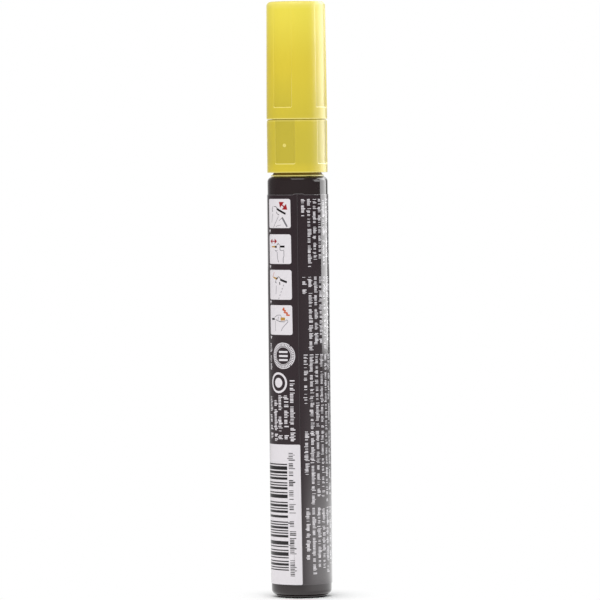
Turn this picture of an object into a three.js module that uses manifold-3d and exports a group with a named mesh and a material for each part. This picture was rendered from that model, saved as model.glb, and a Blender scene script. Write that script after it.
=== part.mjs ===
// A valve-action paint marker with its cap on, standing on the foot of its barrel.
// Millimetres, +Z up, origin at the centre of the foot's resting face. -Y is the side
// with the printed column, and azimuths are degrees from -Y towards +X.

import * as THREE from 'three';
import { mergeVertices } from 'three/addons/utils/BufferGeometryUtils.js';
import Module from 'manifold-3d';

const wasm = await Module();
wasm.setup();

// Driving dimensions

const turnSegments = 48;          // facets round the barrel, film, front section and cap
const smallSegments = 24;         // facets round the small inner pieces
const arcSteps = 4;               // chords in a quarter of a large edge radius
const seatGap = 0.05;             // left between faces that rest on each other
const slipGap = 0.1;              // radial running gap of a sliding piece

const barrelRadius = 7.1;
const barrelWall = 0.45;
const barrelLength = 98.9;
const shoulderRadius = 1.2;       // rolled edge at the barrel's mouth
const mouthRimWidth = 0.15;       // flat rim inside the rolled edge
const baseCornerRadius = 1.3;
const footInset = 1.1;            // foot's outside, in from the barrel's outside
const footHeight = 0.45;
const footEdgeRadius = 0.3;
const footBandWidth = 1.5;
const baseRecess = 0.55;          // hollow under the base, inside the foot
const baseThickness = 0.8;
const baseInnerRadius = 0.8;

const filmThickness = 0.12;
const filmGap = 0.03;
const filmBottomMargin = 3.2;     // bare barrel under the film
const filmTopMargin = 4.2;        // bare barrel between the film and the mouth
const filmSeamAzimuth = 1.5;
const filmOverlap = 15;           // degrees of film lying on film
const filmRamp = 7.5;             // degrees in which the outer end climbs onto the inner one

const neckGap = 0.8;              // between the barrel's mouth and the collar
const neckClearance = 0.15;
const flangeWidth = 0.65;
const flangeThickness = 0.2;
const plugLength = 8;
const plugClearance = 0.1;
const plugLead = 0.4;
const sealWidth = 1.4;
const sealDepth = 0.6;
const sealRise = 2.3;             // groove's lower side, up from the plug's end
const collarLength = 12.5;
const collarEdgeRadius = 0.5;
const collarPanelAzimuth = -25.6;
const collarPanelWidth = 5.4;
const collarPanelDepth = 0.2;
const collarPanelRise = 2;        // panel's lower edge, up from the collar's
const gateRadius = 0.35;
const gateHeight = 0.12;
const gateRise = 6.3;
const spigotLength = 5.8;
const spigotClearance = 0.35;
const spigotChamfer = 0.3;
const clickHeight = 0.15;         // how far each click bead stands out
const clickLength = 1.2;
const clickRise = 2.8;            // spigot's bead, up from the collar
const capClickRise = 1.4;         // cap's bead, up from the collar
const noseLength = 4.5;
const noseWall = 1;
const coneLength = 4.5;
const coneTipWall = 0.6;
const coneGuideLength = 5;
const valveSeatRise = 1.6;        // valve seat, up from the barrel's mouth

const nibRadius = 2;
const nibProjection = 6.2;
const nibPointLength = 2.8;
const nibPointRadius = 0.9;
const nibRearChamfer = 0.3;
const nibRearGap = 2.1;           // left over the valve seat when the nib is fully pressed
const nibClearance = 0.2;         // nib in the front section's guide bore
const holderWall = 1.05;
const holderFloorGap = 4.1;       // room for paint under the holder
const holderSlotWidth = 0.8;
const holderSlotDepth = 0.55;
const holderSlots = 4;
const pressTravel = 1.6;
const pinGap = 0.3;               // between the nib and the valve pin

const pinRadius = 1;
const pinFlowGap = 0.7;
const valveSealOverlap = 1.1;
const valveHeadThickness = 1.25;
const valveFlowGap = 0.4;
const tailRadius = 1.2;
const tailReach = 1;              // tail under its guide with the valve shut
const gasketThickness = 1.2;
const cageLength = 17.2;
const cageWall = 1.15;
const cageWindowWidth = 2.6;
const cageWindowLength = 5;
const cageWindowRise = 3.4;
const retainerThickness = 1.05;
const retainerPlugLength = 1.4;
const springWire = 0.5;
const springTurns = 9;
const springStepsPerTurn = 10;
const springSides = 5;

const capOverhang = 0.05;         // cap's mouth outside the collar
const capDraft = 0.25;
const capSkirtWall = 1;
const capCrownWall = 1.7;
const capCrownThickness = 1.2;
const capGap = 0.2;               // between the collar and the cap
const capEdgeRadius = 0.25;
const capTopRadius = 1;
const capMouthLead = 0.2;
const capStepGap = 0.6;           // over the spigot's end
const capPanelAzimuth = -29.8;
const capPanelWidth = 5.1;
const capPanelDepth = 0.3;        // at the panel's lower edge, fading out upwards with the draft
const capPanelRise = 2.5;
const panelCornerRadius = 0.45;
const panelCount = 4;
const linerGap = 0.1;
const linerCrown = 0.7;
const linerLipClearance = 0.1;
const linerLipLength = 2.2;
const linerFunnelLength = 3.4;
const linerWall = 1.55;
const nibHeadroom = 4.8;

const ballRadius = 2.5;
const ballSegments = 16;

// Radii that follow from them

const barrelBore = barrelRadius - barrelWall;
const rolledEdgeCentre = barrelRadius - shoulderRadius;
const mouthBore = rolledEdgeCentre - mouthRimWidth;
const footRadius = barrelRadius - footInset;
const plugRadius = barrelBore - plugClearance;
const neckRadius = mouthBore - neckClearance;
const collarRadius = barrelRadius;
const capMouthRadius = collarRadius + capOverhang;
const capCrownRadius = capMouthRadius - capDraft;
const skirtBore = capMouthRadius - capSkirtWall;
const spigotRadius = skirtBore - spigotClearance;
const linerBore = capCrownRadius - capCrownWall;
const linerRadius = linerBore - seatGap;
const holderBore = nibRadius + slipGap;
const holderRadius = holderBore + holderWall;
const sleeveBore = holderRadius + seatGap;
const noseRadius = sleeveBore + noseWall;
const guideBore = nibRadius + nibClearance;
const coneTipRadius = guideBore + coneTipWall;
const gasketBore = pinRadius + pinFlowGap;
const valveHeadRadius = gasketBore + valveSealOverlap;
const cageBore = valveHeadRadius + valveFlowGap;
const cageRadius = cageBore + cageWall;
const valveBore = cageRadius + seatGap;
const springMeanRadius = (tailRadius + cageBore) / 2;

// Heights that follow from them

const floorZ = baseRecess + baseThickness;
const collarBottomZ = barrelLength + neckGap;
const collarTopZ = collarBottomZ + collarLength;
const spigotTopZ = collarTopZ + spigotLength;
const noseTopZ = spigotTopZ + noseLength;
const coneTipZ = noseTopZ + coneLength;
const sleeveTopZ = coneTipZ - coneGuideLength;
const nibTipZ = coneTipZ + nibProjection;
const plugBottomZ = barrelLength - plugLength;
const valveSeatZ = barrelLength + valveSeatRise;
const nibRearZ = valveSeatZ + nibRearGap + pressTravel;
const pinTopZ = nibRearZ - pinGap;
const gasketTopZ = valveSeatZ - seatGap;
const gasketBottomZ = gasketTopZ - gasketThickness;
const cageTopZ = gasketBottomZ - seatGap;
const cageBottomZ = cageTopZ - cageLength;
const valveHeadTopZ = gasketBottomZ - seatGap;
const valveHeadBottomZ = valveHeadTopZ - valveHeadThickness;
const retainerTopZ = cageBottomZ + retainerPlugLength;
const retainerFlangeZ = cageBottomZ - seatGap;
const retainerBottomZ = retainerFlangeZ - retainerThickness;
const capBottomZ = collarTopZ + capGap;
const skirtTopZ = spigotTopZ + capStepGap;
const linerBottomZ = spigotTopZ + capStepGap / 2;
const linerCeilingZ = nibTipZ + nibHeadroom;
const linerTopZ = linerCeilingZ + linerCrown;
const capCeilingZ = linerTopZ + linerGap;
const capTopZ = capCeilingZ + capCrownThickness;

// Finishes

const finish = (color, roughness, metalness = 0) => (
  new THREE.MeshStandardMaterial({ color, roughness, metalness }));
const blackLacquer = finish(0x322a2b, 0.22);
const printedFilm = finish(0x362e33, 0.3);
const yellowPlastic = finish(0xe0cb44, 0.35);
const fibre = finish(0xefe9d6, 0.9);
const naturalPlastic = finish(0xe6e3da, 0.45);
const sealRubber = finish(0x2b2b2c, 0.7);
const springSteel = finish(0xb9babd, 0.3, 1);

// Shared shapes

const radians = THREE.MathUtils.degToRad;

// Points round part of a circle in the radius-height plane, angles in degrees from +radius.
function arc(centreRadius, centreZ, radius, from, to, steps = arcSteps) {
  const points = [];
  for (let step = 0; step <= steps; step += 1) {
    const angle = radians(from + (to - from) * step / steps);
    points.push([centreRadius + radius * Math.cos(angle), centreZ + radius * Math.sin(angle)]);
  }
  return points;
}

// A solid turned about Z. The profile runs down its inside and up its outside.
function turned(profile, segments) {
  const points = profile.map(([radius, z]) => new THREE.Vector2(radius, z));
  const geometry = new THREE.LatheGeometry(points, segments);
  geometry.rotateX(Math.PI / 2);
  return closed(geometry);
}

// A turned ring or tube, whose profile comes back to its first point.
function turnedRing(profile, segments) {
  return turned([...profile, profile[0]], segments);
}

// Joins the shared corners of a surface and leaves out the flat triangles on its axis.
function closed(geometry) {
  geometry.deleteAttribute('normal');
  geometry.deleteAttribute('uv');
  const merged = mergeVertices(geometry);
  const corners = merged.index.array;
  const kept = [];
  for (let start = 0; start < corners.length; start += 3) {
    const [a, b, c] = corners.slice(start, start + 3);
    if (a !== b && b !== c && c !== a) kept.push(a, b, c);
  }
  merged.setIndex(kept);
  return merged;
}

function solidOf(geometry) {
  return new wasm.Manifold(new wasm.Mesh({
    numProp: 3,
    vertProperties: new Float32Array(geometry.attributes.position.array),
    triVerts: new Uint32Array(geometry.index.array),
  }));
}

function geometryOf(solid) {
  const { vertProperties, triVerts } = solid.getMesh();
  const geometry = new THREE.BufferGeometry();
  geometry.setAttribute('position', new THREE.BufferAttribute(vertProperties, 3));
  geometry.setIndex(new THREE.BufferAttribute(triVerts, 1));
  return geometry;
}

// A box that runs outwards along -Y from the axis, turned to an azimuth.
function radialBox(width, reach, height, centreZ, azimuth) {
  const geometry = new THREE.BoxGeometry(width, reach, height);
  geometry.translate(0, -reach / 2, centreZ);
  geometry.rotateZ(radians(azimuth));
  return solidOf(closed(geometry));
}

// Four shallow panels sunk into a turned wall: round-cornered at the bottom, open at the top.
function panelCuts({ width, bottomZ, topZ, floorRadius, reach, azimuth }) {
  const outline = new THREE.Shape();
  outline.moveTo(-width / 2, topZ);
  outline.lineTo(-width / 2, bottomZ + panelCornerRadius);
  outline.absarc(-width / 2 + panelCornerRadius, bottomZ + panelCornerRadius,
    panelCornerRadius, Math.PI, Math.PI * 1.5);
  outline.absarc(width / 2 - panelCornerRadius, bottomZ + panelCornerRadius,
    panelCornerRadius, Math.PI * 1.5, Math.PI * 2);
  outline.lineTo(width / 2, topZ);
  const core = solidOf(turned([
    [0, bottomZ - seatGap],
    [floorRadius, bottomZ - seatGap],
    [floorRadius, topZ + seatGap],
    [0, topZ + seatGap],
  ], turnSegments));
  let cuts = null;
  for (let index = 0; index < panelCount; index += 1) {
    const geometry = new THREE.ExtrudeGeometry(outline, {
      depth: reach, bevelEnabled: false, curveSegments: 3,
    });
    geometry.rotateX(Math.PI / 2);
    geometry.rotateZ(radians(azimuth + index * 360 / panelCount));
    const cut = solidOf(closed(geometry));
    cuts = cuts ? cuts.add(cut) : cut;
  }
  return cuts.subtract(core);
}

// A click bead on an outside (+1) or inside (-1) wall, listed upwards.
function clickBead(wallRadius, centreZ, side) {
  return [
    [wallRadius, centreZ - clickLength / 2],
    [wallRadius + side * clickHeight, centreZ],
    [wallRadius, centreZ + clickLength / 2],
  ];
}

// Barrel

function barrelShape() {
  const cornerZ = footHeight + baseCornerRadius;
  const cornerCentre = barrelRadius - baseCornerRadius;
  const footMeet = THREE.MathUtils.radToDeg(Math.acos((footRadius - cornerCentre) / baseCornerRadius));
  return turned([
    [0, baseRecess],
    [footRadius - footBandWidth, baseRecess],
    [footRadius - footBandWidth, 0],
    ...arc(footRadius - footEdgeRadius, footEdgeRadius, footEdgeRadius, -90, 0, 2),
    ...arc(cornerCentre, cornerZ, baseCornerRadius, -footMeet, 0),
    ...arc(rolledEdgeCentre, barrelLength - shoulderRadius, shoulderRadius, 0, 90),
    [mouthBore, barrelLength],
    [mouthBore, barrelLength - barrelWall],
    ...arc(rolledEdgeCentre, barrelLength - shoulderRadius, shoulderRadius - barrelWall, 90, 0, 3),
    ...arc(barrelBore - baseInnerRadius, floorZ + baseInnerRadius, baseInnerRadius, 0, -90, 3),
    [0, floorZ],
  ], turnSegments);
}

// Label film: one sheet wound once round the barrel, its outer end lying on its inner end.

function filmShape() {
  const innerRadius = barrelRadius + filmGap;
  const climb = filmThickness + filmGap;
  const sweep = 360 + filmOverlap;
  const steps = Math.round(sweep / (360 / turnSegments));
  const inside = [];
  const outside = [];
  for (let step = 0; step <= steps; step += 1) {
    const turn = sweep * step / steps;
    const climbed = THREE.MathUtils.clamp((turn - 360 + filmRamp) / filmRamp, 0, 1);
    const radius = innerRadius + climb * climbed;
    const angle = radians(turn + filmSeamAzimuth - filmOverlap - 90);
    const direction = new THREE.Vector2(Math.cos(angle), Math.sin(angle));
    inside.push(direction.clone().multiplyScalar(radius));
    outside.push(direction.multiplyScalar(radius + filmThickness));
  }
  const outline = new THREE.Shape([...outside, ...inside.reverse()]);
  const height = barrelLength - filmTopMargin - filmBottomMargin;
  const geometry = new THREE.ExtrudeGeometry(outline, { depth: height, bevelEnabled: false });
  geometry.translate(0, 0, filmBottomMargin);
  return closed(geometry);
}

// Front section: plug, neck, collar, spigot for the cap, nose and cone in one moulding.

const sealGrooveZ = plugBottomZ + sealRise;
const plugShoulderZ = barrelLength - shoulderRadius;
const plugTopZ = barrelLength - barrelWall - plugClearance;

function frontSectionShape() {
  const flangeRadius = neckRadius + flangeWidth;
  const flangeZ = barrelLength + seatGap;
  const body = solidOf(turnedRing([
    [guideBore, coneTipZ],
    [guideBore, sleeveTopZ],
    [sleeveBore, sleeveTopZ],
    [sleeveBore, valveSeatZ],
    [valveBore, valveSeatZ],
    [valveBore, plugBottomZ],
    [plugRadius - plugLead, plugBottomZ],
    [plugRadius, plugBottomZ + plugLead],
    [plugRadius, sealGrooveZ],
    [plugRadius - sealDepth, sealGrooveZ],
    [plugRadius - sealDepth, sealGrooveZ + sealWidth],
    [plugRadius, sealGrooveZ + sealWidth],
    [plugRadius, plugShoulderZ],
    [rolledEdgeCentre, plugTopZ],
    [neckRadius, plugTopZ],
    [neckRadius, flangeZ],
    [flangeRadius, flangeZ],
    [flangeRadius, flangeZ + flangeThickness],
    [neckRadius, collarBottomZ - seatGap],
    [neckRadius, collarBottomZ],
    [collarRadius, collarBottomZ],
    ...arc(collarRadius - collarEdgeRadius, collarTopZ - collarEdgeRadius, collarEdgeRadius, 0, 90, 3),
    [spigotRadius, collarTopZ],
    ...clickBead(spigotRadius, collarTopZ + clickRise, 1),
    [spigotRadius, spigotTopZ - spigotChamfer],
    [spigotRadius - spigotChamfer, spigotTopZ],
    [noseRadius, spigotTopZ],
    [noseRadius, noseTopZ],
    [coneTipRadius, coneTipZ],
  ], turnSegments));
  const panels = panelCuts({
    width: collarPanelWidth,
    bottomZ: collarBottomZ + collarPanelRise,
    topZ: collarTopZ + seatGap,
    floorRadius: collarRadius - collarPanelDepth,
    reach: collarRadius * 1.2,
    azimuth: collarPanelAzimuth,
  });
  const gate = new THREE.CylinderGeometry(gateRadius, gateRadius, gateHeight * 4, 12);
  gate.translate(0, gateHeight - collarRadius + collarPanelDepth, 0);
  gate.translate(0, 0, collarBottomZ + gateRise);
  gate.rotateZ(radians(collarPanelAzimuth));
  return geometryOf(body.subtract(panels).add(solidOf(closed(gate))));
}

function barrelSealShape() {
  const outer = barrelBore - seatGap;
  const inner = plugRadius - sealDepth + slipGap;
  const bottom = sealGrooveZ + slipGap;
  const top = sealGrooveZ + sealWidth - slipGap;
  const round = (outer - inner) / 2;
  return turnedRing([
    [inner, top],
    [inner, bottom],
    ...arc(outer - round, bottom + round, round, -90, 0, 2),
    ...arc(outer - round, top - round, round, 0, 90, 2),
  ], smallSegments);
}

// Nib and its holder

function nibShape() {
  return turned([
    [0, nibRearZ],
    [nibRadius - nibRearChamfer, nibRearZ],
    [nibRadius, nibRearZ + nibRearChamfer],
    [nibRadius, nibTipZ - nibPointLength],
    ...arc(0, nibTipZ - nibPointRadius, nibPointRadius, 25, 90, 3).slice(0, -1),
    [0, nibTipZ],
  ], smallSegments);
}

function nibHolderShape() {
  const bottomZ = valveSeatZ + holderFloorGap;
  const topZ = sleeveTopZ - seatGap;
  const height = topZ - bottomZ;
  let sleeve = solidOf(turnedRing([
    [holderBore, topZ],
    [holderBore, bottomZ],
    [holderRadius, bottomZ],
    [holderRadius, topZ],
  ], smallSegments));
  for (let index = 0; index < holderSlots; index += 1) {
    sleeve = sleeve.subtract(radialBox(
      holderSlotWidth, holderBore + holderSlotDepth, height * 2, topZ, index * 360 / holderSlots));
  }
  return geometryOf(sleeve);
}

// Valve: gasket, stem, spring, cage and the disc that closes the cage

function gasketShape() {
  return turnedRing([
    [gasketBore, gasketTopZ],
    [gasketBore, gasketBottomZ],
    [valveBore - slipGap, gasketBottomZ],
    [valveBore - slipGap, gasketTopZ],
  ], smallSegments);
}

function valveStemShape() {
  const seatLand = valveHeadThickness * 0.6;
  return turned([
    [0, retainerBottomZ - tailReach],
    [tailRadius - slipGap, retainerBottomZ - tailReach],
    [tailRadius, retainerBottomZ - tailReach + slipGap],
    [tailRadius, valveHeadBottomZ],
    [valveHeadRadius, valveHeadBottomZ],
    [valveHeadRadius, valveHeadBottomZ + seatLand],
    [gasketBore, valveHeadTopZ],
    [pinRadius, valveHeadTopZ],
    [pinRadius, pinTopZ - slipGap],
    [pinRadius - slipGap, pinTopZ],
    [0, pinTopZ],
  ], smallSegments);
}

class Coil extends THREE.Curve {
  getPoint(t, target = new THREE.Vector3()) {
    const bottom = retainerTopZ + seatGap + springWire / 2;
    const top = valveHeadBottomZ - seatGap - springWire / 2;
    const angle = 2 * Math.PI * springTurns * t;
    return target.set(
      springMeanRadius * Math.cos(angle), springMeanRadius * Math.sin(angle), bottom + (top - bottom) * t);
  }
}

function springShape() {
  const section = new THREE.Shape();
  for (let side = 0; side < springSides; side += 1) {
    const angle = 2 * Math.PI * side / springSides;
    const x = springWire / 2 * Math.cos(angle);
    const y = springWire / 2 * Math.sin(angle);
    if (side === 0) section.moveTo(x, y);
    else section.lineTo(x, y);
  }
  return closed(new THREE.ExtrudeGeometry(section, {
    extrudePath: new Coil(), steps: springTurns * springStepsPerTurn, bevelEnabled: false,
  }));
}

function cageShape() {
  let cage = solidOf(turnedRing([
    [cageBore, cageTopZ],
    [cageBore, cageBottomZ],
    [cageRadius, cageBottomZ],
    [cageRadius, cageTopZ],
  ], smallSegments));
  const windowZ = cageBottomZ + cageWindowRise + cageWindowLength / 2;
  for (let quarter = 0; quarter < 4; quarter += 1) {
    cage = cage.subtract(radialBox(
      cageWindowWidth, cageRadius * 1.2, cageWindowLength, windowZ, quarter * 90));
  }
  return geometryOf(cage);
}

function retainerShape() {
  const guide = tailRadius + slipGap;
  return turnedRing([
    [guide, retainerTopZ],
    [guide, retainerBottomZ],
    [cageRadius, retainerBottomZ],
    [cageRadius, retainerFlangeZ],
    [cageBore - seatGap, retainerFlangeZ],
    [cageBore - seatGap, retainerTopZ],
  ], smallSegments);
}

// Cap and its inner liner

function capShellShape() {
  const bead = clickBead(skirtBore, collarTopZ + capClickRise, -1).reverse();
  const body = solidOf(turned([
    [0, capCeilingZ],
    [linerBore, capCeilingZ],
    [linerBore, skirtTopZ],
    [skirtBore, skirtTopZ],
    ...bead,
    [skirtBore, capBottomZ + capMouthLead],
    [skirtBore + capMouthLead, capBottomZ],
    ...arc(capMouthRadius - capEdgeRadius, capBottomZ + capEdgeRadius, capEdgeRadius, -90, 0, 2),
    ...arc(capCrownRadius - capTopRadius, capTopZ - capTopRadius, capTopRadius, 0, 90),
    [0, capTopZ],
  ], turnSegments));
  const panels = panelCuts({
    width: capPanelWidth,
    bottomZ: capBottomZ + capPanelRise,
    topZ: capTopZ - capTopRadius / 2,
    floorRadius: capMouthRadius - capPanelDepth,
    reach: capMouthRadius * 1.2,
    azimuth: capPanelAzimuth,
  });
  return geometryOf(body.subtract(panels));
}

function capLinerShape() {
  const lip = noseRadius + linerLipClearance;
  const funnelZ = noseTopZ + linerFunnelLength;
  return turned([
    [0, linerCeilingZ],
    [linerRadius - linerWall, linerCeilingZ],
    [linerRadius - linerWall, funnelZ],
    [lip, noseTopZ + linerLipClearance],
    [lip, linerBottomZ + linerLipLength],
    [lip, linerBottomZ + slipGap],
    [lip + slipGap, linerBottomZ],
    [linerRadius, linerBottomZ],
    [linerRadius, linerTopZ],
    [0, linerTopZ],
  ], turnSegments);
}

// Mixing balls, lying on the barrel's floor halfway between its axis and its wall

function ballShape(side) {
  const geometry = new THREE.SphereGeometry(ballRadius, ballSegments, ballSegments / 2 + 2);
  geometry.rotateX(Math.PI / 2);
  geometry.translate(side * barrelBore / 2, 0, floorZ + ballRadius + seatGap);
  return closed(geometry);
}

const marker = new THREE.Group();

function addPiece(name, geometry, material) {
  const mesh = new THREE.Mesh(geometry, material.clone());
  mesh.name = name;
  marker.add(mesh);
}

addPiece('barrel', barrelShape(), blackLacquer);
addPiece('label_film', filmShape(), printedFilm);
addPiece('front_section', frontSectionShape(), yellowPlastic);
addPiece('barrel_seal', barrelSealShape(), sealRubber);
addPiece('nib_holder', nibHolderShape(), naturalPlastic);
addPiece('nib', nibShape(), fibre);
addPiece('valve_gasket', gasketShape(), sealRubber);
addPiece('valve_stem', valveStemShape(), naturalPlastic);
addPiece('valve_spring', springShape(), springSteel);
addPiece('valve_cage', cageShape(), naturalPlastic);
addPiece('spring_retainer', retainerShape(), naturalPlastic);
addPiece('cap_shell', capShellShape(), yellowPlastic);
addPiece('cap_liner', capLinerShape(), naturalPlastic);
addPiece('mixing_ball_1', ballShape(-1), springSteel);
addPiece('mixing_ball_2', ballShape(1), springSteel);

export default marker;
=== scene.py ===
"""A valve-action paint marker, standing on its foot with the cap on.

Shapes are worked out in millimetres about the marker's axis and put into the meshes in metres.
Azimuths are degrees from -Y, the side with the printed column, towards +X. A place on the label
is (s, z): millimetres round the film from azimuth 0 to the right, and height over the foot.
"""

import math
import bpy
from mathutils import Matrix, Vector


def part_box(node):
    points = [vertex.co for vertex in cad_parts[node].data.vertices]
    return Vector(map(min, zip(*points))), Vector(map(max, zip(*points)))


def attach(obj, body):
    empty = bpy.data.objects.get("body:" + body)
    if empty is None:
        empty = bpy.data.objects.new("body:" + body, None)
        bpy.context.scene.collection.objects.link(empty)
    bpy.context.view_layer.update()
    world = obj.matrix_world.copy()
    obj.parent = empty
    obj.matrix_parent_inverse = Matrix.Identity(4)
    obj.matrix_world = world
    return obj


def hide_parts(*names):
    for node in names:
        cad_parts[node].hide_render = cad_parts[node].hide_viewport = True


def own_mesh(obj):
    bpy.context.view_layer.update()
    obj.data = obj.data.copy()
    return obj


bl_info = {
    "name": "Paint Marker",
    "version": (1, 0, 0),
    "blender": (4, 5, 0),
    "location": "3D View > Sidebar > Marker",
    "description": "Builds a paint marker piece by piece on its packed frame",
    "category": "Add Mesh",
}

import bpy
import numpy as np
from mathutils import Matrix, Vector

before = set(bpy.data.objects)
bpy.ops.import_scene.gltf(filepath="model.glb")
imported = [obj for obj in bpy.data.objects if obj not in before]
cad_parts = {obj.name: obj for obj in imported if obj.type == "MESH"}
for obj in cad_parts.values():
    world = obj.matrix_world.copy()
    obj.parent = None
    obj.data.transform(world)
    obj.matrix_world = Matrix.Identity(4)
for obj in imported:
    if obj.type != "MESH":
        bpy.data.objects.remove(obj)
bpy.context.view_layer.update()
film_low, film_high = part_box("label_film")
cap_high, barrel_high = (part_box(node)[1] for node in ("cap_shell", "barrel"))


# Sizes and colours that a user would change


def size(name, metres, description):
    """A length that the sidebar shows in the scene's unit."""
    return bpy.props.FloatProperty(
        name=name, description=description, default=metres, min=0, precision=5,
        unit="LENGTH", subtype="DISTANCE")


def turn(name, degrees, description):
    """An angle that the sidebar shows in degrees."""
    return bpy.props.FloatProperty(
        name=name, description=description, default=math.radians(degrees),
        unit="ROTATION", subtype="ANGLE")


def tint(name, display, description):
    """A colour given by its 0-255 display values, which are made linear."""
    part = np.array(display) / 255
    linear = np.where(part <= 0.04045, part / 12.92, ((part + 0.055) / 1.055) ** 2.4)
    return bpy.props.FloatVectorProperty(
        name=name, description=description, default=linear.tolist(), size=3,
        min=0, max=1, subtype="COLOR")


class MarkerSizes(bpy.types.PropertyGroup):
    """Lengths of the shells, the nib and the valve."""

    barrel_radius: size("Barrel radius", barrel_high.x, "Outside of the metal barrel")
    barrel_length: size("Barrel length", barrel_high.z + 0.00003, "Foot to the barrel's rolled mouth")
    barrel_wall: size("Barrel wall", 0.00045, "Thickness of the barrel's side")
    shoulder_radius: size("Shoulder radius", 0.0012, "Rolled edge at the barrel's mouth")
    base_corner: size("Base corner", 0.0013, "Rounding where the side meets the foot")
    collar_bottom: size("Collar bottom", 0.09987, "Lower edge of the front section's collar")
    collar_top: size("Collar top", 0.11233, "Upper edge of the front section's collar")
    collar_panel_width: size("Collar panel width", 0.0054, "Width of each sunk panel of the collar")
    collar_panel_depth: size("Collar panel depth", 0.0002, "How far the collar's panels are sunk")
    cap_mouth_radius: size("Cap mouth radius", cap_high.x, "Outside of the cap at its open end")
    cap_crown_radius: size("Cap crown radius", 0.0069, "Outside of the cap at its closed end")
    cap_edge: size("Cap top edge", 0.001, "Rounding of the cap's closed end")
    cap_panel_width: size("Cap panel width", 0.0051, "Width of each sunk panel of the cap")
    cap_panel_floor: size("Cap panel floor", 0.00685, "Radius that the cap's panels are sunk to")
    panel_slope: size("Panel slope", 0.0003, "Width of the slope round a sunk panel")
    nib_radius: size("Nib radius", 0.002, "Radius of the fibre rod")
    nib_point: size("Nib point", 0.0028, "Length of the nib's tapered point")
    ball_radius: size("Ball radius", 0.0025, "Radius of a mixing ball")
    spring_wire: size("Spring wire", 0.0005, "Thickness of the valve spring's wire")


class LabelSizes(bpy.types.PropertyGroup):
    """Where the film lies and how its print is laid out."""

    film_radius: size("Film radius", film_high.x, "Outside of the film with its print")
    film_thickness: size("Film thickness", 0.00011, "Thickness of the film under its print")
    film_bottom: size("Film bottom", film_low.z, "Lower edge of the film")
    film_top: size("Film top", film_high.z, "Upper edge of the film")
    seam: turn("Seam", -0.7, "Azimuth of the film's outer end at its top")
    seam_drift: turn("Seam drift", 4.8, "How far the outer end strays to the right at its bottom")
    overlap: turn("Overlap", 15, "Film that lies on film")
    ramp: turn("Ramp", 7.5, "Turn in which the film climbs onto its inner end")
    overlap_rise: size("Overlap rise", 0.00012, "How far the overlap stands out")
    print_slant: bpy.props.FloatProperty(
        name="Print slant", default=0.007,
        description="Millimetres that the print strays to the right per millimetre down")
    picture_side: size("Picture width", 0.0069, "Width of each picture panel")
    stroke_height: size("Stroke height", 0.00068, "Height of the fine print's short strokes")
    line_pitch: size("Line pitch", 0.00146, "From one line of fine print to the next")


class MarkerColours(bpy.types.PropertyGroup):
    """Colours of the finishes, as they look under white light, and lighter and darker yellows
    that paint light and shade onto the plastic.
    """

    lacquer: tint("Lacquer", (40, 31, 32), "Black lacquer on the barrel")
    film: tint("Film", (41, 28, 33), "Black ground of the label")
    plastic: tint("Plastic", (225, 201, 27), "Yellow of the cap and collar")
    # Painted shade: this darker yellow shades the lower part of the cap and collar
    plastic_low: tint("Deep plastic", (205, 186, 28), "Yellow over the dark nib assembly")
    # Painted light: this lighter yellow lights the cap towards its crown
    plastic_top: tint("Top plastic", (242, 224, 62), "Yellow where light comes through the crown")
    # Painted highlight: this pale yellow is painted where edges and slopes catch light
    plastic_edge: tint("Edge plastic", (250, 236, 132), "Yellow where an edge gathers light")
    # Painted shade: this dark yellow paints the shade on the neck under the collar
    plastic_deep: tint("Hidden plastic", (150, 124, 34), "Yellow of the neck under the collar")
    white_print: tint("White print", (226, 221, 225), "Panels of the label")
    grey_print: tint("Grey print", (118, 116, 122), "Thin lines of the pictures")
    black_print: tint("Black print", (24, 20, 22), "Stripes and bars on the panels")
    red_print: tint("Red print", (158, 26, 32), "Arrows of the pictures")
    orange_print: tint("Orange print", (199, 92, 48), "Drawn line of the last picture")
    ochre_print: tint("Ochre print", (184, 140, 66), "Ends of the drawn markers")
    yellow_print: tint("Yellow print", (214, 186, 40), "Colour field on the back of the label")
    natural: tint("Natural plastic", (230, 227, 218), "Liner, holder and valve parts")
    fibre: tint("Fibre", (236, 230, 212), "Nib")
    rubber: tint("Rubber", (40, 40, 42), "Seals")
    steel: tint("Steel", (196, 197, 200), "Spring and mixing balls")


def mm(metres):
    return metres * 1000


def ends(node):
    """The lower and upper end of a CAD node."""
    return [mm(corner.z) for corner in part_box(node)]


def eased(t):
    """0 to 1 with soft ends: 3 t^2 - 2 t^3."""
    t = np.clip(t, 0, 1)
    return t * t * (3 - 2 * t)


# Profiles, in (r, z)


def arc(centre_r, centre_z, radius, start, end, step=9):
    """Points of part of a circle: (R + q cos a, Z + q sin a), a from start to end in degrees."""
    a = np.radians(np.linspace(start, end, max(2, math.ceil(abs(end - start) / step)) + 1))
    return [(centre_r + radius * c, centre_z + radius * s, 0) for c, s in zip(np.cos(a), np.sin(a))]


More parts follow.
